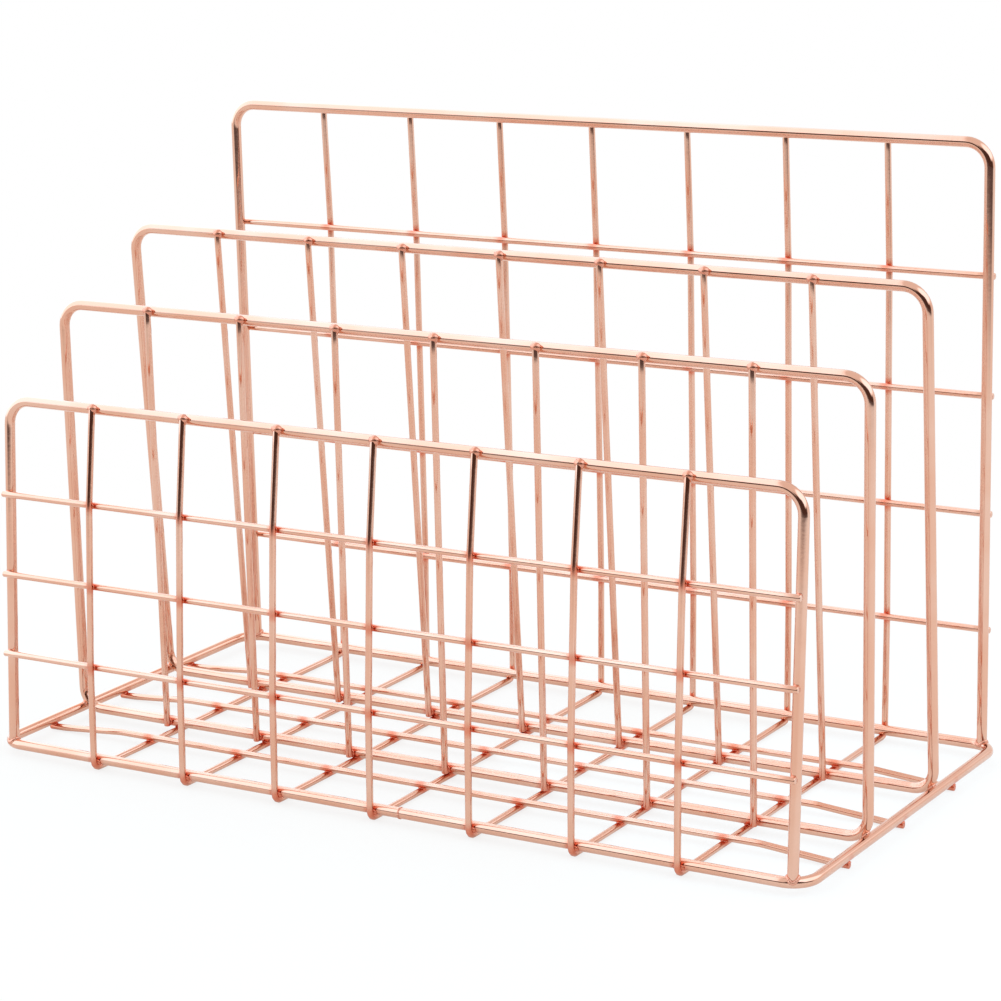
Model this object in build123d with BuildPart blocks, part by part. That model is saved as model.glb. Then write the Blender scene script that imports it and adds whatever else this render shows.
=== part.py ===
from build123d import *
import os
from math import cos, radians, sin, sqrt

# Letter rack of welded, rose gold plated steel wire, with three slots that step up to the back.
# It stands on the table at Z = 0, with its origin under the middle of its overall width and depth.
# +X is to the right, +Y is to the back and +Z is up. Lengths are millimetres, leans are degrees.

# Wire
frame_wire = 3.5            # diameter of the base rim, the end frames and the divider loops
mesh_wire = 2.2             # diameter of the long wires, the cross wires and the uprights
weld_set = 0.2              # depth that two wires are pressed into each other where they are welded
foot_bead = 0.8             # how far the collar of filler round a leg's foot stands out from the leg
foot_bead_rise = 1.2        # how far that collar climbs above the rim
foot_bead_bevel = 0.5
corner_bead = 0.5           # how far the filler at a divider's lower corner stands out from the wire
cut_end = 0.3               # bevel on the cut ends of the mesh wire

# Base rim, measured on its centre line
base_width = 300.0
base_depth = 145.0
rim_corner = 8.0

# Front and back frames
frame_inset = 4.6           # from a side rim to the leg that stands beside it, on centre lines
frame_corner = 8.0          # upper corners, on the centre line
front_height = 122.5        # top of the front rail above the table
back_height = 205.0         # top of the back rail above the table
front_lean = 4.0            # the front leans in

# Dividers
front_bay = 45.0            # front rim to low divider, on centre lines at the base
middle_bay = 50.0           # low divider to tall divider, on centre lines at the base
low_divider_height = 148.5
tall_divider_height = 168.5
tall_divider_lean = 3.0     # the tall divider leans forward
divider_corner = 7.0        # lower corners, which nestle on the side rims

# Mesh
columns = 8
front_rows = 4
front_bottom_row = 31.5     # rim to lowest cross wire, up the front
front_top_row = 31.5        # highest cross wire to rail
back_rows = 5
back_bottom_row = 39.0
back_top_row = 43.0
front_floor_gap = 28.0      # front rim to the first floor wire, on centre lines
middle_floor_gap = 23.0     # low divider to the second
back_floor_gap = 13.0       # tall divider to the third
tip_land = 0.1              # plain length of mesh wire between its last weld and its bevelled end
mesh_bend = 12.0            # gentle bends of the mesh wire, on the centre line

# Distances between the centre lines of two wires that are welded together
frame_radius = frame_wire / 2
mesh_radius = mesh_wire / 2
frame_to_frame = 2 * frame_radius - weld_set
frame_to_mesh = frame_radius + mesh_radius - weld_set
mesh_to_mesh = 2 * mesh_radius - weld_set

# A mesh wire runs past the middle of the frame wire that ends it, until it is clear of the weld's hollow.
hollow_half = sqrt(frame_radius**2 - (frame_radius - weld_set)**2)
tip_rise = hollow_half + tip_land + cut_end

# The long wires lie on the table, the rim and the dividers on them, and the floor wires too.
long_z = mesh_radius
rim_z = long_z + frame_to_mesh
floor_z = long_z + mesh_to_mesh

# A leg stands on the rim's rounded corner, a little behind the line of the rim.
leg_x = base_width / 2 - frame_inset
corner_reach = max(rim_corner - frame_inset, 0)
foot_inset = rim_corner - sqrt(rim_corner**2 - corner_reach**2)
foot_lift = frame_radius / 2

# The long wires are outermost at the front rim and at the back cross wires.
long_offset = frame_to_mesh + mesh_to_mesh
front_reach = frame_to_mesh + mesh_radius
back_reach = long_offset + mesh_radius - foot_inset
front_rim_y = (front_reach - back_reach - base_depth) / 2
back_rim_y = front_rim_y + base_depth
low_divider_y = front_rim_y + front_bay
tall_divider_y = low_divider_y + middle_bay

# A divider's lower corner rests on the upper inner side of the rim.
corner_drop = divider_corner + frame_to_frame
divider_x = base_width / 2 + divider_corner - sqrt(corner_drop**2 - divider_corner**2)


def panel_plane(depth, front_side, lean=0.0):
    """Plane of a panel that rises from the rim at a depth, with its normal out of the mesh's side."""
    across = Vector(1, 0, 0) if front_side else Vector(-1, 0, 0)
    up = Vector(0, sin(radians(lean)), cos(radians(lean)))
    return Plane(origin=(0, depth, rim_z), x_dir=across, z_dir=across.cross(up))


def rise(height, lean=0.0):
    """Length up a panel from the rim's centre line to its rail's."""
    return (height - frame_radius - rim_z) / cos(radians(lean))


def row_heights(length, rows, bottom_row, top_row):
    """Heights of the cross wires up a panel; the rows between the end ones are alike."""
    inner_row = (length - bottom_row - top_row) / (rows - 2)
    return [bottom_row + row * inner_row for row in range(rows - 1)]


def column_places(half_width):
    """Places across the width where the columns meet."""
    pitch = 2 * half_width / columns
    return [pitch * column - half_width for column in range(1, columns)]


def section_plane(path):
    """Plane across the start of a path."""
    return Plane(origin=path.line @ 0, z_dir=path.line % 0)


front_plane = panel_plane(front_rim_y + foot_inset, True, front_lean)
back_plane = panel_plane(back_rim_y - foot_inset, False)
low_divider_plane = panel_plane(low_divider_y, True)
tall_divider_plane = panel_plane(tall_divider_y, True, -tall_divider_lean)

front_rise = rise(front_height, front_lean)
back_rise = rise(back_height)
low_divider_rise = rise(low_divider_height)
tall_divider_rise = rise(tall_divider_height, tall_divider_lean)

front_row_heights = row_heights(front_rise, front_rows, front_bottom_row, front_top_row)
back_row_heights = row_heights(back_rise, back_rows, back_bottom_row, back_top_row)

os.makedirs("parts", exist_ok=True)


def save(piece, label):
    """Label a finished piece and write it."""
    piece.part.label = label
    export_step(piece.part, f"parts/{label}.step")


# Base rim: one closed loop of frame wire with round corners
with BuildPart() as base_rim:
    with BuildLine(Plane.XY.offset(rim_z)) as rim_path:
        FilletPolyline(
            (-base_width / 2, front_rim_y),
            (base_width / 2, front_rim_y),
            (base_width / 2, back_rim_y),
            (-base_width / 2, back_rim_y),
            radius=rim_corner,
            close=True,
        )
    with BuildSketch(section_plane(rim_path)):
        Circle(frame_radius)
    sweep()
save(base_rim, "base_rim")


# Front frame: an upturned U whose feet are shaped to the rim
with BuildPart() as front_frame:
    with BuildLine(front_plane) as front_path:
        FilletPolyline(
            (-leg_x, foot_lift),
            (-leg_x, front_rise),
            (leg_x, front_rise),
            (leg_x, foot_lift),
            radius=frame_corner,
        )
    with BuildSketch(section_plane(front_path)):
        Circle(frame_radius)
    sweep()
    add(base_rim.part, mode=Mode.SUBTRACT)
save(front_frame, "front_frame")


# Back frame: the same U, taller
with BuildPart() as back_frame:
    with BuildLine(back_plane) as back_path:
        FilletPolyline(
            (-leg_x, foot_lift),
            (-leg_x, back_rise),
            (leg_x, back_rise),
            (leg_x, foot_lift),
            radius=frame_corner,
        )
    with BuildSketch(section_plane(back_path)):
        Circle(frame_radius)
    sweep()
    add(base_rim.part, mode=Mode.SUBTRACT)
save(back_frame, "back_frame")


# Divider loops: closed loops whose lower corners are pressed onto the side rims
with BuildPart() as low_divider_frame:
    with BuildLine(low_divider_plane) as low_divider_path:
        FilletPolyline(
            (-divider_x, 0),
            (divider_x, 0),
            (divider_x, low_divider_rise),
            (-divider_x, low_divider_rise),
            radius=[divider_corner, divider_corner, frame_corner, frame_corner],
            close=True,
        )
    with BuildSketch(section_plane(low_divider_path)):
        Circle(frame_radius)
    sweep()
    add(base_rim.part, mode=Mode.SUBTRACT)
save(low_divider_frame, "low_divider_frame")

with BuildPart() as tall_divider_frame:
    with BuildLine(tall_divider_plane) as tall_divider_path:
        FilletPolyline(
            (-divider_x, 0),
            (divider_x, 0),
            (divider_x, tall_divider_rise),
            (-divider_x, tall_divider_rise),
            radius=[divider_corner, divider_corner, frame_corner, frame_corner],
            close=True,
        )
    with BuildSketch(section_plane(tall_divider_path)):
        Circle(frame_radius)
    sweep()
    add(base_rim.part, mode=Mode.SUBTRACT)
save(tall_divider_frame, "tall_divider_frame")


# Cross wires of the front and the back: straight, and notched where they are pressed onto the legs
cross_x = leg_x + tip_rise
cross_wires = []

for number, height in enumerate(front_row_heights, 1):
    with BuildPart() as front_cross_wire:
        middle = front_plane.from_local_coords((0, height, frame_to_mesh))
        with BuildSketch(Plane(origin=middle, z_dir=(1, 0, 0))):
            Circle(mesh_radius)
        extrude(amount=cross_x, both=True)
        chamfer(edges().filter_by(GeomType.CIRCLE), cut_end)
        add(front_frame.part, mode=Mode.SUBTRACT)
    save(front_cross_wire, f"front_cross_wire_{number}")
    cross_wires.append(front_cross_wire.part)

for number, height in enumerate(back_row_heights, 1):
    with BuildPart() as back_cross_wire:
        middle = back_plane.from_local_coords((0, height, frame_to_mesh))
        with BuildSketch(Plane(origin=middle, z_dir=(1, 0, 0))):
            Circle(mesh_radius)
        extrude(amount=cross_x, both=True)
        chamfer(edges().filter_by(GeomType.CIRCLE), cut_end)
        add(back_frame.part, mode=Mode.SUBTRACT)
    save(back_cross_wire, f"back_cross_wire_{number}")
    cross_wires.append(back_cross_wire.part)


# Floor wires: one in each bay, on the long wires and down under the side rims
floor_tip_x = base_width / 2 + tip_rise
floor_low_x = base_width / 2 - frame_wire
floor_high_x = max(column_places(leg_x)) + mesh_bend
floor_places = [
    front_rim_y + front_floor_gap,
    low_divider_y + middle_floor_gap,
    tall_divider_y + back_floor_gap,
]

for number, place in enumerate(floor_places, 1):
    with BuildPart() as floor_cross_wire:
        with BuildLine(Plane.XZ.offset(-place)) as floor_path:
            FilletPolyline(
                (-floor_tip_x, long_z),
                (-floor_low_x, long_z),
                (-floor_high_x, floor_z),
                (floor_high_x, floor_z),
                (floor_low_x, long_z),
                (floor_tip_x, long_z),
                radius=mesh_bend,
            )
        with BuildSketch(section_plane(floor_path)):
            Circle(mesh_radius)
        sweep()
        chamfer(faces().filter_by(GeomType.PLANE).edges(), cut_end)
        add(base_rim.part, mode=Mode.SUBTRACT)
    save(floor_cross_wire, f"floor_cross_wire_{number}")
    cross_wires.append(floor_cross_wire.part)


# Long wires: down the front, round under the rim, along the floor, round the back rim and up the back
def long_point(plane, height, offset):
    """Depth and height of a point of a long wire, from its place on a panel."""
    point = plane.from_local_coords((0, height, offset))
    return (point.Y, point.Z)


long_points = [
    long_point(front_plane, front_rise + tip_rise, frame_to_mesh),
    long_point(front_plane, max(front_row_heights), long_offset),
    long_point(front_plane, min(front_row_heights), long_offset),
    (front_rim_y - frame_to_mesh, long_z),
    (back_rim_y + frame_to_mesh, long_z),
    long_point(back_plane, min(back_row_heights), long_offset),
    long_point(back_plane, max(back_row_heights), long_offset),
    long_point(back_plane, back_rise + tip_rise, frame_to_mesh),
]
long_radii = [mesh_bend, mesh_bend, frame_to_mesh, frame_to_mesh, mesh_bend, mesh_bend]
end_frames = [base_rim.part, front_frame.part, back_frame.part]
divider_frames = [low_divider_frame.part, tall_divider_frame.part]

for number, place in enumerate(column_places(leg_x), 1):
    with BuildPart() as long_wire:
        with BuildLine(Plane.YZ.offset(place)) as long_path:
            FilletPolyline(long_points, radius=long_radii)
        with BuildSketch(section_plane(long_path)):
            Circle(mesh_radius)
        sweep()
        chamfer(faces().filter_by(GeomType.PLANE).edges(), cut_end)
        add(end_frames + divider_frames + cross_wires, mode=Mode.SUBTRACT)
    save(long_wire, f"long_wire_{number}")


# Uprights of the dividers: pressed onto the front of the loop's two rails
for number, place in enumerate(column_places(divider_x), 1):
    with BuildPart() as low_divider_upright:
        with BuildSketch(Plane(
            origin=low_divider_plane.from_local_coords((place, -tip_rise, frame_to_mesh)),
            z_dir=low_divider_plane.y_dir,
        )):
            Circle(mesh_radius)
        extrude(amount=low_divider_rise + 2 * tip_rise)
        chamfer(edges().filter_by(GeomType.CIRCLE), cut_end)
        add(low_divider_frame.part, mode=Mode.SUBTRACT)
    save(low_divider_upright, f"low_divider_upright_{number}")

    with BuildPart() as tall_divider_upright:
        with BuildSketch(Plane(
            origin=tall_divider_plane.from_local_coords((place, -tip_rise, frame_to_mesh)),
            z_dir=tall_divider_plane.y_dir,
        )):
            Circle(mesh_radius)
        extrude(amount=tall_divider_rise + 2 * tip_rise)
        chamfer(edges().filter_by(GeomType.CIRCLE), cut_end)
        add(tall_divider_frame.part, mode=Mode.SUBTRACT)
    save(tall_divider_upright, f"tall_divider_upright_{number}")


# Foot welds: a collar of filler round each foot of the end frames
with BuildPart() as frame_foot_welds:
    for plane in (front_plane, back_plane):
        for side in (-1, 1):
            foot = plane.from_local_coords((side * leg_x, foot_lift, 0))
            with BuildSketch(Plane(origin=foot, z_dir=plane.y_dir)):
                Circle(frame_radius + foot_bead)
            extrude(amount=frame_radius - foot_lift + foot_bead_rise)
    chamfer(edges().filter_by(GeomType.CIRCLE), foot_bead_bevel)
    add(end_frames, mode=Mode.SUBTRACT)
save(frame_foot_welds, "frame_foot_welds")


# Corner welds: filler where each lower corner of a divider meets the rim
contact_share = (frame_radius - weld_set / 2) / corner_drop
contact_x = base_width / 2 + (divider_x - divider_corner - base_width / 2) * contact_share
contact_height = divider_corner * contact_share

with BuildPart() as divider_corner_welds:
    for plane in (low_divider_plane, tall_divider_plane):
        for side in (-1, 1):
            with Locations(plane.from_local_coords((side * contact_x, contact_height, 0))):
                Sphere(frame_radius + corner_bead)
    add([base_rim.part] + divider_frames, mode=Mode.SUBTRACT)
save(divider_corner_welds, "divider_corner_welds")
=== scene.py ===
"""Looks of a welded wire letter rack with rose gold plating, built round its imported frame."""
import math

import bpy
from mathutils import Matrix, Vector


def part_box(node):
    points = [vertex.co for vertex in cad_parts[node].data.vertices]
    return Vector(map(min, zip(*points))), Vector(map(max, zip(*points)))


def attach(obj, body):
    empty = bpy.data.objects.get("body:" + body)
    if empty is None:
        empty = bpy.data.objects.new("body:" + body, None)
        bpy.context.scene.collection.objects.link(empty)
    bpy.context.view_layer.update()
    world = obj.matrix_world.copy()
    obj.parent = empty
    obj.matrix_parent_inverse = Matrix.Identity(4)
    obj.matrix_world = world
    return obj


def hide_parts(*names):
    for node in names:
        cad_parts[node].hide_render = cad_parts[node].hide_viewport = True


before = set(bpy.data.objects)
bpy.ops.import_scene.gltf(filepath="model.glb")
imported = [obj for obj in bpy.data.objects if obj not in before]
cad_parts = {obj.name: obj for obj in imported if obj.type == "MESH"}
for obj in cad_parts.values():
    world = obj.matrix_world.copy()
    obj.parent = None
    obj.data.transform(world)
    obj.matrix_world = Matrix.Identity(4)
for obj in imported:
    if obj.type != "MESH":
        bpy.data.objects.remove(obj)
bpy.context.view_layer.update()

bl_info = {
    "name": "Wire Letter Rack",
    "version": (1, 0, 0),
    "blender": (4, 5, 0),
    "location": "3D View > Sidebar > Letter Rack",
    "description": "Builds the plated wires, welds and photo stage of a letter rack",
    "category": "Object",
}

BODY = "root"
FRAME_FINISH = "rose_gold_frame_wire"
MESH_FINISH = "rose_gold_mesh_wire"
WELD_FINISH = "rose_gold_weld"
WELD_MARKS = "weld_marks"

# Photo stage: width and focal length of the picture in pixels, film width in millimetres
IMAGE_WIDTH = 1001
FOCAL_PIXELS = 3228.36
SENSOR_WIDTH = 36.0
CAMERA_CLIP = 50.0
TABLE_HALF = 3.0

# How many wires each panel has
COLUMNS = 7
FRONT_ROWS = 3
BACK_ROWS = 4
BAYS = 3

# How fine the wire meshes are
RING_SPACING = 0.0012
BEND_STEPS = 24
FRAME_SIDES = 32
MESH_SIDES = 24
END_RINGS = 4

# Share of a weld mark's reach that has its full colour (heat tint with painted crevice shade), and the
# kinds of weld that leave one
HEAT_AND_SHADE_CORE = 0.3
MARKED_WELDS = ("mesh", "frame", "hook")

# Fused metal at each kind of weld: half sizes along and across its face and out of it, and its share of
# heat tint and painted shade
FLASH_SIZES = {
    "mesh": (0.00115, 0.00115, 0.00045),
    "frame": (0.0015, 0.0015, 0.00055),
    "hook": (0.0021, 0.0013, 0.00070),
    "leg": (0.0014, 0.0014, 0.00050),
    "tip": (0.0019, 0.0016, 0.00138),
    "seam": (0.00045, 0.00045, 0.00022),
}
FLASH_HEAT_AND_SHADE = {"mesh": 0.85, "frame": 0.85, "hook": 0.85, "leg": 0.6, "tip": 0.4, "seam": 0.3}
FLASH_UNEVENNESS = 0.0006
FLASH_GRAIN = 900.0

# How far the flash under a rim turns down, and where the bead on a wire's tip sits
HOOK_DROP = 0.4
TIP_SINK = 0.00015
TIP_LIFT = 0.0005

# Where the loop of the rim is butted shut, across the front, and the spots in its ring
SEAM_PLACE = 0.0098
SEAM_SPOTS = 14

# Beads of filler round the feet and at the lower corners of the dividers, with their half sizes
FOOT_BEADS = 22
FOOT_BEAD = (0.00075, 0.00075, 0.00055)
FOOT_BEAD_LOW = 0.25
CORNER_BEADS = 11
CORNER_BEAD = (0.0008, 0.0008, 0.0007)
CORNER_BEAD_REACH = 0.95
CORNER_BEAD_RING = 0.0009
# Share of heat tint and painted crevice shade on the beads
BEAD_HEAT_AND_SHADE = 0.3
BEAD_UNEVENNESS = 0.0005
BEAD_GRAIN = 700.0


def box_size(node):
    """Size of a solid's box."""
    low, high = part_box(node)
    return high - low


def box_middle(node):
    """Middle of a solid's box."""
    low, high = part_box(node)
    return (low + high) / 2


class RackSizes(bpy.types.PropertyGroup):
    """Sizes of the rack; what the frame shows is read from it."""

    frame_wire: bpy.props.FloatProperty(
        name="Frame wire", description="Diameter of the rim, the end frames and the divider loops",
        default=round(box_size("base_rim").z, 4), unit="LENGTH")
    mesh_wire: bpy.props.FloatProperty(
        name="Mesh wire", description="Diameter of the long wires, cross wires and uprights",
        default=round(box_size("low_divider_upright_1").x, 4), unit="LENGTH")
    rim_corner: bpy.props.FloatProperty(
        name="Rim corner", description="Corner of the base rim on its centre line",
        default=0.008, unit="LENGTH")
    frame_corner: bpy.props.FloatProperty(
        name="Frame corner", description="Upper corners of the frames and loops on the centre line",
        default=0.008, unit="LENGTH")
    divider_corner: bpy.props.FloatProperty(
        name="Divider corner", description="Lower corners of the divider loops on the centre line",
        default=0.007, unit="LENGTH")
    mesh_bend: bpy.props.FloatProperty(
        name="Mesh bend", description="Gentle bends of the mesh wire on the centre line",
        default=0.012, unit="LENGTH")
    front_lean: bpy.props.FloatProperty(
        name="Front lean", description="How far the front leans in",
        default=math.radians(4), subtype="ANGLE")
    tall_divider_lean: bpy.props.FloatProperty(
        name="Tall divider lean", description="How far the tall divider leans forward",
        default=math.radians(3), subtype="ANGLE")
    cut_end: bpy.props.FloatProperty(
        name="Cut end", description="Rounding that the plating leaves on a cut wire end",
        default=0.0003, unit="LENGTH")
    weld_set: bpy.props.FloatProperty(
        name="Weld set", description="Depth that two wires are pressed into each other",
        default=0.0002, unit="LENGTH")
    # Reach of the weld mark, which is partly heat tint and partly painted shade in the crevice where wires
    # meet
    weld_heat: bpy.props.FloatProperty(
        name="Weld heat", description="How far the heat of a weld shows along the wire",
        default=0.0036, unit="LENGTH")


class RackFinish(bpy.types.PropertyGroup):
    """Colours and polish of the plating."""

    plating: bpy.props.FloatVectorProperty(
        name="Plating", description="Rose gold of the plating",
        default=(0.745, 0.385, 0.265), subtype="COLOR", min=0, max=1)
    plating_pale: bpy.props.FloatVectorProperty(
        name="Pale plating", description="Paler drifts in the plating",
        default=(0.775, 0.46, 0.345), subtype="COLOR", min=0, max=1)
    # Darker red round each weld: partly heat tint, partly painted shade in the crevice where wires meet
    heated_and_shaded: bpy.props.FloatVectorProperty(
        name="Heated plating", description="Redder plating beside a weld",
        default=(0.66, 0.12, 0.045), subtype="COLOR", min=0, max=1)
    polish: bpy.props.FloatProperty(
        name="Polish", description="Roughness of the bright wire",
        default=0.09, min=0, max=1, subtype="FACTOR")
    lacquer: bpy.props.FloatProperty(
        name="Lacquer", description="Share of the clear lacquer over the plating",
        default=0.25, min=0, max=1, subtype="FACTOR")
    weld_polish: bpy.props.FloatProperty(
        name="Weld polish", description="Roughness of the filler and the flash",
        default=0.26, min=0, max=1, subtype="FACTOR")


class RackStage(bpy.types.PropertyGroup):
    """Camera and light of the photo stage."""

    camera_place: bpy.props.FloatVectorProperty(
        name="Camera place", description="Where the camera stands",
        default=(0.533295, -0.879319, 0.341013), subtype="TRANSLATION")
    camera_pan: bpy.props.FloatProperty(
        name="Camera pan", description="Turn of the view to the right of the depth axis",
        default=-0.541001, subtype="ANGLE")
    camera_tilt: bpy.props.FloatProperty(
        name="Camera tilt", description="Turn of the view below the horizon",
        default=0.241840, subtype="ANGLE")
    camera_roll: bpy.props.FloatProperty(
        name="Camera roll", description="Turn of the picture about the view",
        default=-0.022758, subtype="ANGLE")
    camera_reach: bpy.props.FloatProperty(
        name="Camera reach", description="Focal length in widths of the picture",
        default=FOCAL_PIXELS / IMAGE_WIDTH)
    floor_white: bpy.props.FloatVectorProperty(
        name="Floor white", description="Colour of the table",
        default=(0.80, 0.77, 0.71), subtype="COLOR", min=0, max=1)
    # Painted light: a paler, cooler pool of light painted into the table's colour to the right, which the
    # wires reflect
    floor_painted_light: bpy.props.FloatVectorProperty(
        name="Bright floor", description="Colour of the table where it is brightest, to the right",
        default=(0.88, 0.93, 0.91), subtype="COLOR", min=0, max=1)
    mirror_white: bpy.props.FloatProperty(
        name="Mirrored white", description="Share of plain white in the table that the wires reflect",
        default=0.4, min=0, max=1, subtype="FACTOR")
    table_reach: bpy.props.FloatProperty(
        name="Table reach", description="Where the light on the table has half gone, in front of the rack",
        default=0.92, unit="LENGTH")
    dim_table: bpy.props.FloatVectorProperty(
        name="Dim table", description="Colour of the table past its lit reach",
        default=(0.10, 0.075, 0.07), subtype="COLOR", min=0, max=1)
    dark_room: bpy.props.FloatVectorProperty(
        name="Dark room", description="Colour of the unlit room in front of the table",
        default=(0.085, 0.05, 0.04), subtype="COLOR", min=0, max=1)
    dark_front: bpy.props.FloatProperty(
        name="Dark front", description="Turn about the upright axis to the middle of the unlit front",
        default=math.radians(-58), subtype="ANGLE")
    dark_gap: bpy.props.FloatProperty(
        name="Dark gap", description="Turn about the upright axis to the gap between the soft boxes",
        default=math.radians(-60), subtype="ANGLE")
    soft_box: bpy.props.FloatVectorProperty(
        name="Soft box", description="Colour of the two large soft boxes",
        default=(0.82, 1.00, 1.16), subtype="COLOR", min=0, max=2)
    soft_box_strength: bpy.props.FloatProperty(
        name="Soft box strength", description="Strength of the two large soft boxes",
        default=2.05)


class NodeBench:
    """Adds nodes to a tree and joins their sockets."""

    def __init__(self, tree):
        self.tree = tree

    def add(self, kind, settings=None, inputs=None):
        """Make a node, set its options and fill its inputs with values or with other sockets."""
        node = self.tree.nodes.new(kind)
        for name, value in (settings or {}).items():
            setattr(node, name, value)
        for name, value in (inputs or {}).items():
            socket = node.inputs[name]
            if isinstance(value, bpy.types.NodeSocket):
                self.tree.links.new(value, socket)
            else:
                socket.default_value = value
        return node

    def math(self, operation, first, second=0.0):
        """One sum of two numbers."""
        node = self.add("ShaderNodeMath", {"operation": operation}, {0: first, 1: second})
        return node.outputs[0]

    def scaled_vector(self, vector, scale):
        """A vector times a number."""
        node = self.add("ShaderNodeVectorMath", {"operation": "SCALE"}, {0: vector, "Scale": scale})
        return node.outputs[0]

    def noise(self, place, scale, detail):
        """Value of a noise at a place."""
        node = self.add("ShaderNodeTexNoise", None, {"Vector": place, "Scale": scale, "Detail": detail})
        return node.outputs[0]

    def ramp(self, value, low, high, start=0.0, end=1.0):
        """A smooth step of a number from start to end."""
        node = self.add(
            "ShaderNodeMapRange", {"interpolation_type": "SMOOTHSTEP"},
            {"Value": value, "From Min": low, "From Max": high, "To Min": start, "To Max": end})
        return node.outputs[0]

    def towards(self, way, turn, low, high):
        """How well a direction faces a turn about the upright axis, as a smooth step of its cosine."""
        level = (math.cos(turn), math.sin(turn), 0.0)
        facing = self.add("ShaderNodeVectorMath", {"operation": "DOT_PRODUCT"}, {0: way, 1: level})
        return self.ramp(facing.outputs["Value"], low, high)

    def colours(self, factor, first, second):
        """A mix of two colours."""
        node = self.add("ShaderNodeMix", {"data_type": "RGBA"})
        for index, value in ((0, factor), (6, first), (7, second)):
            if isinstance(value, bpy.types.NodeSocket):
                self.tree.links.new(value, node.inputs[index])
            elif index == 0:
                node.inputs[index].default_value = value
            else:
                node.inputs[index].default_value = (*value, 1.0)
        return node.outputs[2]


def geometry_tree(name, inputs):
    """A new geometry tree with named inputs, as (tree, bench, group input's sockets)."""
    tree = bpy.data.node_groups.new(name, "GeometryNodeTree")
    tree.interface.new_socket("Geometry", in_out="INPUT", socket_type="NodeSocketGeometry")
    for label, kind in inputs:
        tree.interface.new_socket(label, in_out="INPUT", socket_type=kind)
    tree.interface.new_socket("Geometry", in_out="OUTPUT", socket_type="NodeSocketGeometry")
    bench = NodeBench(tree)
    return tree, bench, bench.add("NodeGroupInput").outputs


def finish_tree(bench, geometry, material):
    """End a geometry tree in smooth, realized faces with a material."""
    smooth = bench.add("GeometryNodeSetShadeSmooth", None, {"Geometry": geometry})
    whole = bench.add("GeometryNodeRealizeInstances", None, {"Geometry": smooth.outputs[0]})
    painted = bench.add(
        "GeometryNodeSetMaterial", None, {"Geometry": whole.outputs[0], "Material": material})
    bench.add("NodeGroupOutput", None, {"Geometry": painted.outputs[0]})


def wire_tree():
    """Tree that bends a wire along a chain of corner points and rounds its cut ends."""
    tree, bench, given = geometry_tree("Bent wire", [
        ("Wire diameter", "NodeSocketFloat"),
        ("Cut end", "NodeSocketFloat"),
        ("Ring spacing", "NodeSocketFloat"),
        ("Bend steps", "NodeSocketInt"),
        ("Sides", "NodeSocketInt"),
        ("Welds", "NodeSocketObject"),
        ("Weld heat", "NodeSocketFloat"),
        ("Material", "NodeSocketMaterial"),
    ])
    radius = bench.math("DIVIDE", given["Wire diameter"], 2.0)
    chain = bench.add("GeometryNodeMeshToCurve", None, {"Mesh": given["Geometry"]})
    bend = bench.add("GeometryNodeInputNamedAttribute", {"data_type": "FLOAT"}, {"Name": "bend"})
    bent = bench.add("GeometryNodeFilletCurve", {"mode": "POLY"}, {
        "Curve": chain.outputs[0], "Count": given["Bend steps"], "Radius": bend.outputs[0]})
    rings = bench.add("GeometryNodeResampleCurve", {"mode": "LENGTH"}, {
        "Curve": bent.outputs[0], "Length": given["Ring spacing"]})

    # The rings next to an open end move in and shrink along a quarter circle
    index = bench.add("GeometryNodeInputIndex").outputs[0]
    spline = bench.add("GeometryNodeSplineLength").outputs
    from_end = bench.math("SUBTRACT", bench.math("SUBTRACT", spline["Point Count"], 1.0), index)
    nearest = bench.math("MINIMUM", index, from_end)
    turn = bench.math("MULTIPLY", bench.math("DIVIDE", nearest, float(END_RINGS)), math.pi / 2)
    inset = bench.math(
        "MULTIPLY", given["Cut end"], bench.math("SUBTRACT", 1.0, bench.math("COSINE", turn)))
    first_half = bench.math("LESS_THAN", index, from_end)
    from_far = bench.math("SUBTRACT", spline["Length"], inset)
    along = bench.math(
        "ADD", bench.math("MULTIPLY", first_half, inset),
        bench.math("MULTIPLY", bench.math("SUBTRACT", 1.0, first_half), from_far))
    spot = bench.add("GeometryNodeSampleCurve", {"mode": "LENGTH"}, {
        "Curves": bent.outputs[0], "Length": along})
    open_end = bench.math(
        "MULTIPLY", bench.math("LESS_THAN", nearest, END_RINGS + 0.5),
        bench.math("SUBTRACT", 1.0, bench.add("GeometryNodeInputSplineCyclic").outputs[0]))
    ended = bench.add("GeometryNodeSetPosition", None, {
        "Geometry": rings.outputs[0], "Selection": open_end, "Position": spot.outputs["Position"]})
    drawn_in = bench.math(
        "MULTIPLY", bench.math("DIVIDE", given["Cut end"], radius),
        bench.math("SUBTRACT", 1.0, bench.math("SINE", turn)))
    girth = bench.math("SUBTRACT", 1.0, bench.math("MULTIPLY", open_end, drawn_in))

    section = bench.add("GeometryNodeCurvePrimitiveCircle", {"mode": "RADIUS"}, {
        "Resolution": given["Sides"], "Radius": radius})
    tube = bench.add("GeometryNodeCurveToMesh", None, {
        "Curve": ended.outputs[0], "Profile Curve": section.outputs[0], "Scale": girth, "Fill Caps": True})

    # The heat tint and painted crevice shade of a weld are kept with the points near it
    welds = bench.add("GeometryNodeObjectInfo", {"transform_space": "RELATIVE"}, {"Object": given["Welds"]})
    near = bench.add("GeometryNodeProximity", {"target_element": "POINTS"}, {0: welds.outputs["Geometry"]})
    core = bench.math("MULTIPLY", given["Weld heat"], HEAT_AND_SHADE_CORE)
    heat_and_shade = bench.ramp(near.outputs["Distance"], given["Weld heat"], core)
    heated_and_shaded = bench.add("GeometryNodeStoreNamedAttribute", {"data_type": "FLOAT", "domain": "POINT"}, {
        "Geometry": tube.outputs[0], "Name": "weld_heat", "Value": heat_and_shade})
    finish_tree(bench, heated_and_shaded.outputs[0], given["Material"])
    return tree


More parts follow.
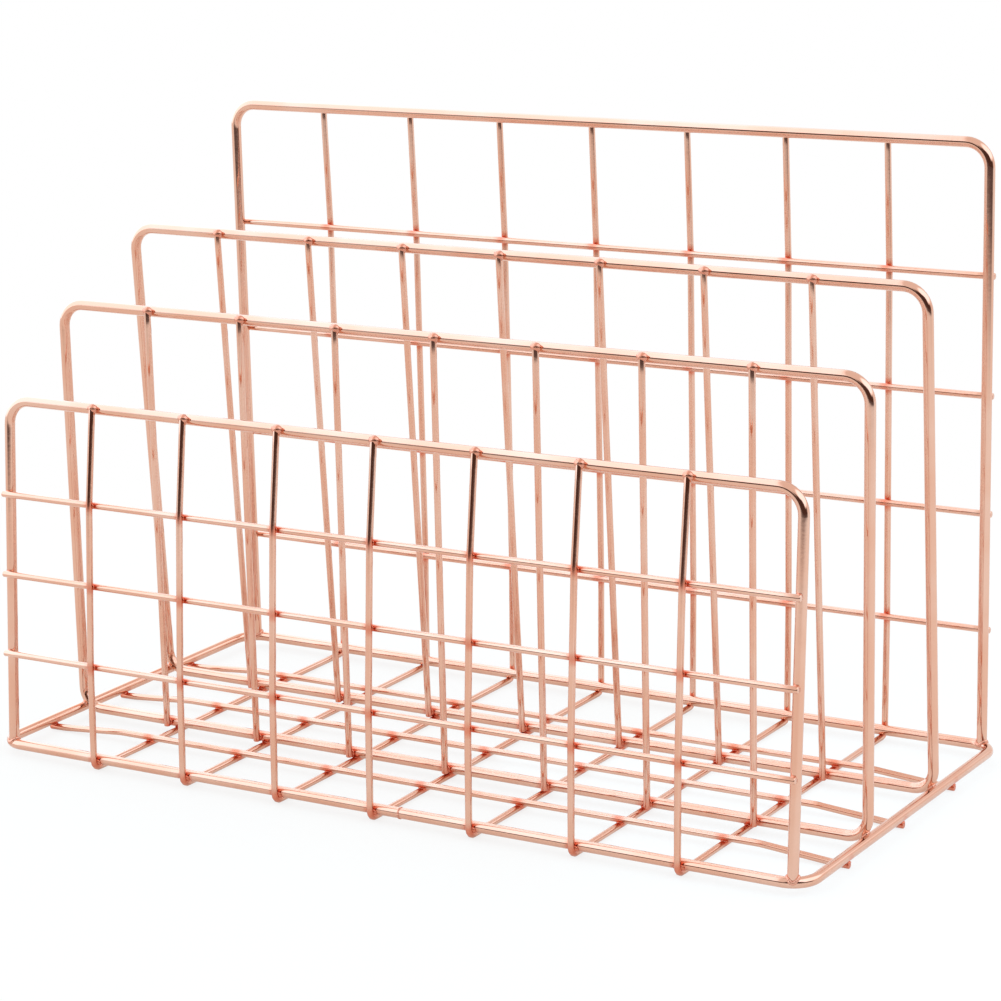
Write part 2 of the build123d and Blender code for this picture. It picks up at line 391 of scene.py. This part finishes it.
def flash_tree():
    """Tree that sets a small uneven lump of fused metal on each weld point."""
    tree, bench, given = geometry_tree("Weld flash", [
        ("Unevenness", "NodeSocketFloat"),
        ("Grain", "NodeSocketFloat"),
        ("Material", "NodeSocketMaterial"),
    ])
    aim = bench.add("GeometryNodeInputNamedAttribute", {"data_type": "FLOAT_VECTOR"}, {"Name": "aim"})
    size = bench.add("GeometryNodeInputNamedAttribute", {"data_type": "FLOAT_VECTOR"}, {"Name": "size"})
    turn = bench.add("FunctionNodeAlignRotationToVector", {"axis": "Z"}, {"Vector": aim.outputs[0]})
    lump = bench.add("GeometryNodeMeshIcoSphere", None, {"Radius": 1.0, "Subdivisions": 2})
    lumps = bench.add("GeometryNodeInstanceOnPoints", None, {
        "Points": given["Geometry"], "Instance": lump.outputs[0],
        "Rotation": turn.outputs[0], "Scale": size.outputs[0]})
    whole = bench.add("GeometryNodeRealizeInstances", None, {"Geometry": lumps.outputs[0]})
    seed = 3.7
    noise_middle = 0.5
    noise = bench.add("ShaderNodeTexNoise", {"noise_dimensions": "4D"}, {
        "W": seed, "Scale": given["Grain"], "Detail": 2.0})
    push = bench.math(
        "MULTIPLY", bench.math("SUBTRACT", noise.outputs[0], noise_middle), given["Unevenness"])
    normal = bench.add("GeometryNodeInputNormal")
    uneven = bench.add("GeometryNodeSetPosition", None, {
        "Geometry": whole.outputs[0], "Offset": bench.scaled_vector(normal.outputs[0], push)})
    finish_tree(bench, uneven.outputs[0], given["Material"])
    return tree


def tree_named(name, maker):
    """The geometry tree of a name, made on its first use."""
    return bpy.data.node_groups.get(name) or maker()


def plain_mesh(name, source, tree, values):
    """Run a geometry tree on a source mesh and keep the result as a plain mesh object."""
    holder = bpy.data.objects.new(name + "_source", source)
    bpy.context.scene.collection.objects.link(holder)
    modifier = holder.modifiers.new("Shape", "NODES")
    modifier.node_group = tree
    for item in tree.interface.items_tree:
        if item.item_type == "SOCKET" and item.in_out == "INPUT" and item.name in values:
            modifier[item.identifier] = values[item.name]
    bpy.context.view_layer.update()
    shaped = holder.evaluated_get(bpy.context.evaluated_depsgraph_get())
    mesh = bpy.data.meshes.new_from_object(shaped)
    mesh.name = name
    piece = bpy.data.objects.new(name, mesh)
    bpy.context.scene.collection.objects.link(piece)
    holder.modifiers.remove(modifier)
    bpy.data.objects.remove(holder)
    bpy.data.meshes.remove(source)
    return piece


def point_mesh(name, points, closed=None):
    """A mesh of points, joined into a chain unless closed is left out."""
    mesh = bpy.data.meshes.new(name)
    links = []
    if closed is not None:
        links = [(number, number + 1) for number in range(len(points) - 1)]
    if closed:
        links.append((len(points) - 1, 0))
    mesh.from_pydata([tuple(point) for point in points], links, [])
    return mesh


class WirePanel:
    """A wire panel on the rim: where it stands, how it leans and which side carries the mesh."""

    def __init__(self, depth, base, lean=0.0, faces_front=True):
        self.foot = Vector((0, depth, base))
        self.up = Vector((0, math.sin(lean), math.cos(lean)))
        side = 1 if faces_front else -1
        self.out = Vector((side, 0, 0)).cross(self.up)
        self.lean = lean

    def point(self, across, height, out=0.0):
        """A point from its place across the rack, up the panel and out of it."""
        return self.foot + Vector((across, 0, 0)) + self.up * height + self.out * out

    def height_of(self, level):
        """How far up the panel a level above the table is, on the panel's centre plane."""
        return (level - self.foot.z) / math.cos(self.lean)


class Layout:
    """Centre lines of the rack, worked out from the sizes and the frame's boxes."""

    def __init__(self, sizes):
        frame_radius = sizes.frame_wire / 2
        mesh_radius = sizes.mesh_wire / 2
        self.frame_radius = frame_radius
        self.mesh_radius = mesh_radius
        rim_low, rim_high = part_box("base_rim")
        self.rim_z = (rim_low.z + rim_high.z) / 2
        self.rim_x = rim_high.x - frame_radius
        self.front_rim_y = rim_low.y + frame_radius
        self.back_rim_y = rim_high.y - frame_radius
        self.frame_to_mesh = frame_radius + mesh_radius - sizes.weld_set
        self.long_offset = self.frame_to_mesh + 2 * mesh_radius - sizes.weld_set
        self.leg_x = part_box("front_frame")[1].x - frame_radius
        self.divider_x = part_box("low_divider_frame")[1].x - frame_radius
        self.tip_rise = self.rim_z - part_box("low_divider_upright_1")[0].z
        self.floor_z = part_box("floor_cross_wire_1")[1].z - mesh_radius

        corner_reach = sizes.rim_corner - (self.rim_x - self.leg_x)
        foot_inset = sizes.rim_corner - math.sqrt(sizes.rim_corner**2 - corner_reach**2)
        low_divider_y = box_middle("low_divider_frame").y
        tall_divider_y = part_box("tall_divider_frame")[1].y - frame_radius
        self.front = WirePanel(self.front_rim_y + foot_inset, self.rim_z, sizes.front_lean)
        self.back = WirePanel(self.back_rim_y - foot_inset, self.rim_z, faces_front=False)
        self.low_divider = WirePanel(low_divider_y, self.rim_z)
        self.tall_divider = WirePanel(tall_divider_y, self.rim_z, -sizes.tall_divider_lean)
        self.front_rise = self.rail_height(self.front, "front_frame")
        self.back_rise = self.rail_height(self.back, "back_frame")
        self.low_divider_rise = self.rail_height(self.low_divider, "low_divider_frame")
        self.tall_divider_rise = self.rail_height(self.tall_divider, "tall_divider_frame")

        self.long_places = [box_middle(f"long_wire_{n}").x for n in range(1, COLUMNS + 1)]
        self.upright_places = [box_middle(f"low_divider_upright_{n}").x for n in range(1, COLUMNS + 1)]
        self.front_rows = self.row_heights(self.front, "front_cross_wire", FRONT_ROWS)
        self.back_rows = self.row_heights(self.back, "back_cross_wire", BACK_ROWS)
        self.floor_depths = [box_middle(f"floor_cross_wire_{n}").y for n in range(1, BAYS + 1)]

    def rail_height(self, panel, node):
        """Height of a rail's centre line up its panel."""
        return panel.height_of(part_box(node)[1].z - self.frame_radius)

    def row_heights(self, panel, stem, rows):
        """Heights of the cross wires up their panel."""
        middles = [box_middle(f"{stem}_{n}") for n in range(1, rows + 1)]
        return [(middle - panel.foot).dot(panel.up) for middle in middles]

    def weld_spots(self):
        """Weld points by group, each as its place, the way it faces and what meets there."""
        rail_out = self.frame_radius
        tip_out = self.frame_to_mesh - TIP_SINK
        mesh_out = (self.frame_to_mesh + self.long_offset) / 2
        rim_under = self.rim_z - self.frame_radius
        floor_mesh_z = (self.mesh_radius + self.floor_z) / 2
        under = Vector((0, 0, -1))
        groups = {"front": [], "back": [], "floor": [], "low_divider": [], "tall_divider": []}
        ends = (
            ("front", self.front, self.front_rise, self.front_rows, -1, self.front_rim_y),
            ("back", self.back, self.back_rise, self.back_rows, 1, self.back_rim_y),
        )
        for name, panel, rise, rows, side, rim_y in ends:
            spots = groups[name]
            for place in self.long_places:
                spots += [(panel.point(place, height, mesh_out), panel.out, "mesh") for height in rows]
                spots.append((panel.point(place, rise - side * TIP_LIFT, tip_out), panel.out, "tip"))
                hook = Vector((0, side, -HOOK_DROP)).normalized()
                spots.append((Vector((place, rim_y, self.rim_z)) + hook * rail_out, hook, "hook"))
            for leg in (-self.leg_x, self.leg_x):
                spots += [(panel.point(leg, height, rail_out), panel.out, "leg") for height in rows]
        groups["floor"] += self.seam_spots()
        for depth in self.floor_depths:
            for place in self.long_places:
                groups["floor"].append((Vector((place, depth, floor_mesh_z)), under, "mesh"))
            for side in (-self.rim_x, self.rim_x):
                groups["floor"].append((Vector((side, depth, rim_under)), under, "frame"))
        dividers = (
            ("low_divider", self.low_divider, self.low_divider_rise),
            ("tall_divider", self.tall_divider, self.tall_divider_rise),
        )
        for name, panel, rise in dividers:
            for place in self.upright_places:
                groups[name].append((panel.point(place, rise + TIP_LIFT, tip_out), panel.out, "tip"))
                groups[name].append((panel.point(place, 0, rail_out), panel.out, "frame"))
            for place in self.long_places:
                groups[name].append((Vector((place, panel.foot.y, rim_under)), under, "frame"))
        return groups

    def seam_spots(self):
        """Spots round the front rim where its loop is butted and welded shut."""
        spots = []
        for number in range(SEAM_SPOTS):
            angle = 2 * math.pi * number / SEAM_SPOTS
            side = Vector((0, math.cos(angle), math.sin(angle)))
            middle = Vector((SEAM_PLACE, self.front_rim_y, self.rim_z))
            spots.append((middle + side * self.frame_radius, side, "seam"))
        return spots


def plating_material(name, finish, polish, drift):
    """Lacquered rose gold plating: drifting colour, uneven polish, heat tint with painted crevice shade at
    welds, and fine orange peel.
    """
    material = bpy.data.materials.get(name)
    if material:
        return material
    material = bpy.data.materials.new(name)
    material.use_nodes = True
    tree = material.node_tree
    tree.nodes.clear()
    bench = NodeBench(tree)
    place = bench.add("ShaderNodeTexCoord").outputs["Object"]
    cloud = bench.noise(place, scale=38.0, detail=3.0)
    smear = bench.noise(place, scale=210.0, detail=4.0)
    peel = bench.noise(place, scale=900.0, detail=2.0)
    heat_and_shade = bench.add("ShaderNodeAttribute", {"attribute_name": "weld_heat"}).outputs["Fac"]

    cloud_edges = (0.35, 0.7)
    heat_and_shade_tint = 0.9
    drifting = bench.math("MULTIPLY", bench.ramp(cloud, *cloud_edges), drift)
    colour = bench.colours(drifting, finish.plating, finish.plating_pale)
    # Painted shade: darker red round each weld, partly heat tint and partly the shade in the crevice where
    # wires meet
    colour = bench.colours(bench.math("MULTIPLY", heat_and_shade, heat_and_shade_tint), colour, finish.heated_and_shaded)

    smear_edges = (0.3, 0.72)
    polish_low = polish * 0.75
    polish_high = polish * 1.35
    heat_dulling = 0.08
    rough = bench.ramp(smear, *smear_edges, polish_low, polish_high)
    rough = bench.math("ADD", rough, bench.math("MULTIPLY", heat_and_shade, heat_dulling))

    peel_depth = 0.00006
    bump = bench.add("ShaderNodeBump", None, {"Strength": 0.12, "Distance": peel_depth, "Height": peel})
    metal = bench.add("ShaderNodeBsdfPrincipled", None, {
        "Base Color": colour, "Metallic": 1.0, "Roughness": rough, "Normal": bump.outputs[0],
        "Coat Weight": finish.lacquer, "Coat Roughness": 0.06})
    bench.add("ShaderNodeOutputMaterial", None, {"Surface": metal.outputs[0]})
    return material


def finish_for(slot, finish):
    """The plating of a material slot."""
    if slot == "frame_wire":
        return plating_material(FRAME_FINISH, finish, finish.polish, drift=0.8)
    if slot == "mesh_wire":
        mesh_polish = finish.polish * 1.1
        return plating_material(MESH_FINISH, finish, mesh_polish, drift=1.0)
    return plating_material(WELD_FINISH, finish, finish.weld_polish, drift=0.6)


def settle(piece, slot, *nodes):
    """Let a finished piece ride on the rack and stand for its solids."""
    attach(piece, BODY)
    if nodes:
        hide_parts(*nodes)


def weld_marks(layout):
    """A helper object that holds the welds whose heat tint and painted shade show on the wires."""
    marks = bpy.data.objects.get(WELD_MARKS)
    if marks:
        return marks
    places = [
        place for spots in layout.weld_spots().values()
        for place, _, kind in spots if kind in MARKED_WELDS
    ]
    marks = bpy.data.objects.new(WELD_MARKS, point_mesh(WELD_MARKS, places))
    bpy.context.scene.collection.objects.link(marks)
    return marks


def clear_weld_marks():
    """Take the helper object away, with its mesh, once every wire is made."""
    marks = bpy.data.objects.get(WELD_MARKS)
    if marks:
        bpy.data.meshes.remove(marks.data)


def bend_wire(context, node, slot, corners, closed=False):
    """Bend one wire along its corners, each a point and a bend radius, in place of a solid."""
    sizes = context.scene.rack_sizes
    name = node + "_plated"
    source = point_mesh(name, [corner[0] for corner in corners], closed)
    bends = source.attributes.new("bend", "FLOAT", "POINT")
    bends.data.foreach_set("value", [corner[1] for corner in corners])
    thick = slot == "frame_wire"
    piece = plain_mesh(name, source, tree_named("Bent wire", wire_tree), {
        "Wire diameter": sizes.frame_wire if thick else sizes.mesh_wire,
        "Cut end": sizes.cut_end,
        "Ring spacing": RING_SPACING,
        "Bend steps": BEND_STEPS,
        "Sides": FRAME_SIDES if thick else MESH_SIDES,
        "Welds": weld_marks(Layout(sizes)),
        "Weld heat": sizes.weld_heat,
        "Material": finish_for(slot, context.scene.rack_finish),
    })
    settle(piece, slot, node)
    return piece


class RACK_OT_frames(bpy.types.Operator):
    """Bend the base rim, the front and back frames and the divider loops"""

    bl_idname = "rack.frames"
    bl_label = "Frames and Loops"

    def execute(self, context):
        sizes = context.scene.rack_sizes
        layout = Layout(sizes)
        front_y, back_y = layout.front_rim_y, layout.back_rim_y
        rim = [
            (Vector((side * layout.rim_x, depth, layout.rim_z)), sizes.rim_corner)
            for side, depth in ((-1, front_y), (1, front_y), (1, back_y), (-1, back_y))
        ]
        bend_wire(context, "base_rim", "frame_wire", rim, closed=True)
        # The legs of the end frames start inside the rim's wire
        foot = layout.frame_radius / 2
        ends = (
            ("front_frame", layout.front, layout.front_rise),
            ("back_frame", layout.back, layout.back_rise),
        )
        for node, panel, rise in ends:
            bend_wire(context, node, "frame_wire", [
                (panel.point(-layout.leg_x, foot), 0.0),
                (panel.point(-layout.leg_x, rise), sizes.frame_corner),
                (panel.point(layout.leg_x, rise), sizes.frame_corner),
                (panel.point(layout.leg_x, foot), 0.0),
            ])
        loops = (
            ("low_divider_frame", layout.low_divider, layout.low_divider_rise),
            ("tall_divider_frame", layout.tall_divider, layout.tall_divider_rise),
        )
        for node, panel, rise in loops:
            bend_wire(context, node, "frame_wire", [
                (panel.point(-layout.divider_x, 0), sizes.divider_corner),
                (panel.point(layout.divider_x, 0), sizes.divider_corner),
                (panel.point(layout.divider_x, rise), sizes.frame_corner),
                (panel.point(-layout.divider_x, rise), sizes.frame_corner),
            ], closed=True)
        return {"FINISHED"}


class RACK_OT_cross_wires(bpy.types.Operator):
    """Lay the straight cross wires of the front and back and the floor wires that dip under the rims"""

    bl_idname = "rack.cross_wires"
    bl_label = "Cross Wires"

    def execute(self, context):
        sizes = context.scene.rack_sizes
        layout = Layout(sizes)
        names = [f"front_cross_wire_{n}" for n in range(1, FRONT_ROWS + 1)]
        names += [f"back_cross_wire_{n}" for n in range(1, BACK_ROWS + 1)]
        for node in names:
            low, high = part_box(node)
            middle = (low + high) / 2
            bend_wire(context, node, "mesh_wire", [
                (Vector((low.x, middle.y, middle.z)), 0.0), (Vector((high.x, middle.y, middle.z)), 0.0)])
        for number, depth in enumerate(layout.floor_depths, 1):
            node = f"floor_cross_wire_{number}"
            tip_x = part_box(node)[1].x
            low_x = layout.rim_x - sizes.frame_wire
            high_x = max(layout.long_places) + sizes.mesh_bend
            half = [
                (tip_x, layout.mesh_radius, 0.0),
                (low_x, layout.mesh_radius, sizes.mesh_bend),
                (high_x, layout.floor_z, sizes.mesh_bend),
            ]
            corners = [(Vector((-x, depth, z)), bend) for x, z, bend in half]
            corners += [(Vector((x, depth, z)), bend) for x, z, bend in reversed(half)]
            bend_wire(context, node, "mesh_wire", corners)
        return {"FINISHED"}


class RACK_OT_long_wires(bpy.types.Operator):
    """Bend the long wires down the front, under the rims and up the back"""

    bl_idname = "rack.long_wires"
    bl_label = "Long Wires"

    def execute(self, context):
        sizes = context.scene.rack_sizes
        layout = Layout(sizes)
        front, back = layout.front, layout.back
        near, far = layout.frame_to_mesh, layout.long_offset
        for number, place in enumerate(layout.long_places, 1):
            bend_wire(context, f"long_wire_{number}", "mesh_wire", [
                (front.point(place, layout.front_rise + layout.tip_rise, near), 0.0),
                (front.point(place, max(layout.front_rows), far), sizes.mesh_bend),
                (front.point(place, min(layout.front_rows), far), sizes.mesh_bend),
                (Vector((place, layout.front_rim_y - near, layout.mesh_radius)), near),
                (Vector((place, layout.back_rim_y + near, layout.mesh_radius)), near),
                (back.point(place, min(layout.back_rows), far), sizes.mesh_bend),
                (back.point(place, max(layout.back_rows), far), sizes.mesh_bend),
                (back.point(place, layout.back_rise + layout.tip_rise, near), 0.0),
            ])
        return {"FINISHED"}


class RACK_OT_uprights(bpy.types.Operator):
    """Set the uprights on the front of both divider loops"""

    bl_idname = "rack.uprights"
    bl_label = "Divider Uprights"

    def execute(self, context):
        layout = Layout(context.scene.rack_sizes)
        dividers = (
            ("low_divider_upright", layout.low_divider, layout.low_divider_rise),
            ("tall_divider_upright", layout.tall_divider, layout.tall_divider_rise),
        )
        for stem, panel, rise in dividers:
            for number, place in enumerate(layout.upright_places, 1):
                bend_wire(context, f"{stem}_{number}", "mesh_wire", [
                    (panel.point(place, -layout.tip_rise, layout.frame_to_mesh), 0.0),
                    (panel.point(place, rise + layout.tip_rise, layout.frame_to_mesh), 0.0),
                ])
        return {"FINISHED"}


def lump_piece(context, name, lumps, unevenness, grain):
    """One mesh of fused lumps, each given by its place, the way it faces, its half sizes and its share of
    heat tint and painted shade.
    """
    source = point_mesh(name, [lump[0] for lump in lumps])
    aims = source.attributes.new("aim", "FLOAT_VECTOR", "POINT")
    aims.data.foreach_set("vector", [value for lump in lumps for value in lump[1]])
    sizes = source.attributes.new("size", "FLOAT_VECTOR", "POINT")
    sizes.data.foreach_set("vector", [value for lump in lumps for value in lump[2]])
    heats = source.attributes.new("weld_heat", "FLOAT", "POINT")
    heats.data.foreach_set("value", [lump[3] for lump in lumps])
    return plain_mesh(name, source, tree_named("Weld flash", flash_tree), {
        "Unevenness": unevenness,
        "Grain": grain,
        "Material": finish_for("weld_bead", context.scene.rack_finish),
    })


class RACK_OT_weld_flash(bpy.types.Operator):
    """Press a little uneven flash out of every crossing of two wires"""

    bl_idname = "rack.weld_flash"
    bl_label = "Weld Flash"

    def execute(self, context):
        layout = Layout(context.scene.rack_sizes)
        for name, spots in layout.weld_spots().items():
            lumps = [(place, aim, FLASH_SIZES[kind], FLASH_HEAT_AND_SHADE[kind]) for place, aim, kind in spots]
            piece = lump_piece(context, name + "_weld_flash", lumps, FLASH_UNEVENNESS, FLASH_GRAIN)
            settle(piece, "weld_bead")
        return {"FINISHED"}


class RACK_OT_weld_beads(bpy.types.Operator):
    """Run a bead of filler round each foot and each lower corner of the dividers"""

    bl_idname = "rack.weld_beads"
    bl_label = "Weld Beads"

    @staticmethod
    def foot_lumps(layout, rim_corner):
        """Lumps round the feet of the end frames, higher along the rim than at its sides."""
        lumps = []
        for panel in (layout.front, layout.back):
            for leg in (-layout.leg_x, layout.leg_x):
                turn = math.asin(1 - (layout.rim_x - abs(leg)) / rim_corner)
                if leg * panel.foot.y > 0:
                    turn = -turn
                for number in range(FOOT_BEADS):
                    angle = 2 * math.pi * number / FOOT_BEADS
                    side = Vector((math.cos(angle), math.sin(angle), 0))
                    saddle = FOOT_BEAD_LOW + (1 - FOOT_BEAD_LOW) * math.cos(angle - turn) ** 2
                    place = panel.point(leg, layout.frame_radius * saddle) + side * layout.frame_radius
                    lumps.append((place, side, FOOT_BEAD, BEAD_HEAT_AND_SHADE))
        return lumps

    @staticmethod
    def corner_lumps(layout, corner):
        """Lumps in a ring between each lower corner of the dividers and the rim."""
        lumps = []
        along = Vector((0, 1, 0))
        for panel in (layout.low_divider, layout.tall_divider):
            for side in (-1, 1):
                rim = Vector((side * layout.rim_x, panel.foot.y, layout.rim_z))
                bend = panel.point(side * (layout.divider_x - corner), corner)
                way = (bend - rim).normalized()
                contact = rim + way * (layout.frame_radius * CORNER_BEAD_REACH)
                across = way.cross(along)
                for number in range(CORNER_BEADS):
                    angle = 2 * math.pi * number / CORNER_BEADS
                    spread = along * math.cos(angle) + across * math.sin(angle)
                    lumps.append((contact + spread * CORNER_BEAD_RING, way, CORNER_BEAD, BEAD_HEAT_AND_SHADE))
        return lumps

    def execute(self, context):
        sizes = context.scene.rack_sizes
        layout = Layout(sizes)
        groups = (
            ("frame_foot_welds", self.foot_lumps(layout, sizes.rim_corner)),
            ("divider_corner_welds", self.corner_lumps(layout, sizes.divider_corner)),
        )
        for node, lumps in groups:
            piece = lump_piece(context, node + "_plated", lumps, BEAD_UNEVENNESS, BEAD_GRAIN)
            settle(piece, "weld_bead", node)
        clear_weld_marks()
        return {"FINISHED"}


def floor_material(stage):
    """White table, which the camera sees as plain white with a soft shadow.

    The wires reflect part of that white, a painted pool of cooler light to the right, and a dim table past
    its lit reach.
    """
    material = bpy.data.materials.new("white_table")
    material.use_nodes = True
    tree = material.node_tree
    tree.nodes.clear()
    bench = NodeBench(tree)
    place = bench.add("ShaderNodeTexCoord").outputs["Object"]
    reach = bench.add("ShaderNodeVectorMath", {"operation": "LENGTH"}, {0: place}).outputs["Value"]
    way = bench.add("ShaderNodeVectorMath", {"operation": "NORMALIZE"}, {0: place}).outputs[0]

    fade_start = stage.table_reach * 0.6
    fade_end = stage.table_reach * 1.4
    dim_edges = (0.2, 0.6)
    beyond = bench.math(
        "MULTIPLY", bench.ramp(reach, fade_start, fade_end),
        bench.towards(way, stage.dark_front, *dim_edges))
    # Painted light: the table turns paler and cooler towards the right, as if more light fell there
    painted_light_turn = 0.0
    painted_light_edges = (0.55, 0.95)
    painted_light_side = bench.towards(way, painted_light_turn, *painted_light_edges)
    lit = bench.colours(painted_light_side, stage.floor_white, stage.floor_painted_light)
    seen = bench.colours(beyond, lit, stage.dim_table)
    table = bench.add("ShaderNodeBsdfDiffuse", None, {"Color": seen})
    white = bench.add("ShaderNodeEmission", None, {"Color": (1, 1, 1, 1), "Strength": 1.0})

    shadow_near, shadow_far = 0.16, 0.42
    shadow_white = 0.80
    ray = bench.add("ShaderNodeLightPath").outputs
    clear = bench.ramp(reach, shadow_near, shadow_far, shadow_white, 1.0)
    shown = bench.math("MULTIPLY", ray["Is Camera Ray"], clear)
    mirrored = bench.math(
        "MULTIPLY", bench.math("MAXIMUM", ray["Is Glossy Ray"], ray["Is Transmission Ray"]),
        bench.math("MULTIPLY", bench.math("SUBTRACT", 1.0, beyond), stage.mirror_white))
    share = bench.math("MAXIMUM", shown, mirrored)
    mixed = bench.add("ShaderNodeMixShader", None, {0: share, 1: table.outputs[0], 2: white.outputs[0]})
    bench.add("ShaderNodeOutputMaterial", None, {"Surface": mixed.outputs[0]})
    return material


def studio_world(stage):
    """White room with a soft box to the left and to the right, and unlit in front of the table.

    The camera sees plain white in its place.
    """
    world = bpy.data.worlds.new("studio")
    world.use_nodes = True
    tree = world.node_tree
    tree.nodes.clear()
    bench = NodeBench(tree)
    way = bench.add("ShaderNodeTexCoord").outputs["Generated"]
    part = bench.add("ShaderNodeSeparateXYZ", None, {0: way}).outputs

    # Edges are parts of the direction: where an area starts and where it is full
    left_side = (-0.28, -0.46)
    left_back = (0.88, 0.72)
    right_side = (0.28, 0.46)
    right_foot = (0.22, 0.42)
    front_sides = (0.25, 0.55)
    front_top = (0.30, 0.18)
    gap_sides = (0.70, 0.86)
    gap_top = (0.62, 0.46)
    left = bench.math("MULTIPLY", bench.ramp(part["X"], *left_side), bench.ramp(part["Y"], *left_back))
    right = bench.math("MULTIPLY", bench.ramp(part["X"], *right_side), bench.ramp(part["Z"], *right_foot))
    boxes = bench.math("MAXIMUM", left, right)
    front = bench.math(
        "MULTIPLY", bench.towards(way, stage.dark_front, *front_sides), bench.ramp(part["Z"], *front_top))
    gap = bench.math(
        "MULTIPLY", bench.towards(way, stage.dark_gap, *gap_sides), bench.ramp(part["Z"], *gap_top))
    unlit = bench.math("MAXIMUM", front, gap)

    colour = bench.colours(boxes, (1.0, 1.0, 1.0), stage.soft_box)
    colour = bench.colours(unlit, colour, stage.dark_room)
    strength = bench.math(
        "MULTIPLY", bench.math("SUBTRACT", stage.soft_box_strength, 1.0),
        bench.math("MULTIPLY", boxes, bench.math("SUBTRACT", 1.0, unlit)))
    strength = bench.math("ADD", strength, 1.0)
    room = bench.add("ShaderNodeBackground", None, {"Color": colour, "Strength": strength})
    white = bench.add("ShaderNodeBackground", None, {"Color": (1, 1, 1, 1), "Strength": 1.0})
    ray = bench.add("ShaderNodeLightPath").outputs
    mixed = bench.add("ShaderNodeMixShader", None, {
        0: ray["Is Camera Ray"], 1: room.outputs[0], 2: white.outputs[0]})
    bench.add("ShaderNodeOutputWorld", None, {"Surface": mixed.outputs[0]})
    return world


class RACK_OT_stage(bpy.types.Operator):
    """Set the white table, the soft light and the camera"""

    bl_idname = "rack.stage"
    bl_label = "Photo Stage"

    def execute(self, context):
        stage = context.scene.rack_stage
        corners = [
            (across * TABLE_HALF, depth * TABLE_HALF, 0)
            for across, depth in ((-1, -1), (1, -1), (1, 1), (-1, 1))
        ]
        mesh = bpy.data.meshes.new("table")
        mesh.from_pydata(corners, [], [(0, 1, 2, 3)])
        mesh.materials.append(floor_material(stage))
        table = bpy.data.objects.new("table", mesh)
        context.scene.collection.objects.link(table)
        context.scene.world = studio_world(stage)

        lens = bpy.data.cameras.new("photo_camera")
        lens.sensor_width = SENSOR_WIDTH
        lens.lens = stage.camera_reach * SENSOR_WIDTH
        lens.clip_end = CAMERA_CLIP
        camera = bpy.data.objects.new("photo_camera", lens)
        pan, tilt, roll = stage.camera_pan, stage.camera_tilt, stage.camera_roll
        ahead = Vector((math.sin(pan) * math.cos(tilt), math.cos(pan) * math.cos(tilt), -math.sin(tilt)))
        level = Vector((math.cos(pan), -math.sin(pan), 0))
        rise = level.cross(ahead)
        right = level * math.cos(roll) + rise * math.sin(roll)
        up = rise * math.cos(roll) - level * math.sin(roll)
        turn = Matrix((right, up, -ahead)).transposed().to_4x4()
        camera.matrix_world = Matrix.Translation(stage.camera_place) @ turn
        context.scene.collection.objects.link(camera)
        context.scene.camera = camera
        context.scene.view_settings.view_transform = "Standard"
        return {"FINISHED"}


OPERATORS = (
    RACK_OT_frames,
    RACK_OT_cross_wires,
    RACK_OT_long_wires,
    RACK_OT_uprights,
    RACK_OT_weld_flash,
    RACK_OT_weld_beads,
    RACK_OT_stage,
)


class RACK_PT_panel(bpy.types.Panel):
    """Lists the rack's pieces and sizes"""

    bl_label = "Letter Rack"
    bl_idname = "RACK_PT_panel"
    bl_space_type = "VIEW_3D"
    bl_region_type = "UI"
    bl_category = "Letter Rack"

    def draw(self, context):
        column = self.layout.column()
        for operator in OPERATORS:
            column.operator(operator.bl_idname)
        for group in (context.scene.rack_sizes, context.scene.rack_finish, context.scene.rack_stage):
            for name in group.__annotations__:
                column.prop(group, name)


CLASSES = (RackSizes, RackFinish, RackStage, *OPERATORS, RACK_PT_panel)


def register():
    """Add the classes and the scene's settings."""
    for item in CLASSES:
        bpy.utils.register_class(item)
    bpy.types.Scene.rack_sizes = bpy.props.PointerProperty(type=RackSizes)
    bpy.types.Scene.rack_finish = bpy.props.PointerProperty(type=RackFinish)
    bpy.types.Scene.rack_stage = bpy.props.PointerProperty(type=RackStage)


def unregister():
    """Take the settings and the classes away again."""
    del bpy.types.Scene.rack_stage
    del bpy.types.Scene.rack_finish
    del bpy.types.Scene.rack_sizes
    for item in reversed(CLASSES):
        bpy.utils.unregister_class(item)


def main():
    """Build the rack and its stage."""
    register()
    bpy.ops.rack.frames()
    bpy.ops.rack.cross_wires()
    bpy.ops.rack.long_wires()
    bpy.ops.rack.uprights()
    bpy.ops.rack.weld_flash()
    bpy.ops.rack.weld_beads()
    bpy.ops.rack.stage()


if __name__ == "__main__":
    main()
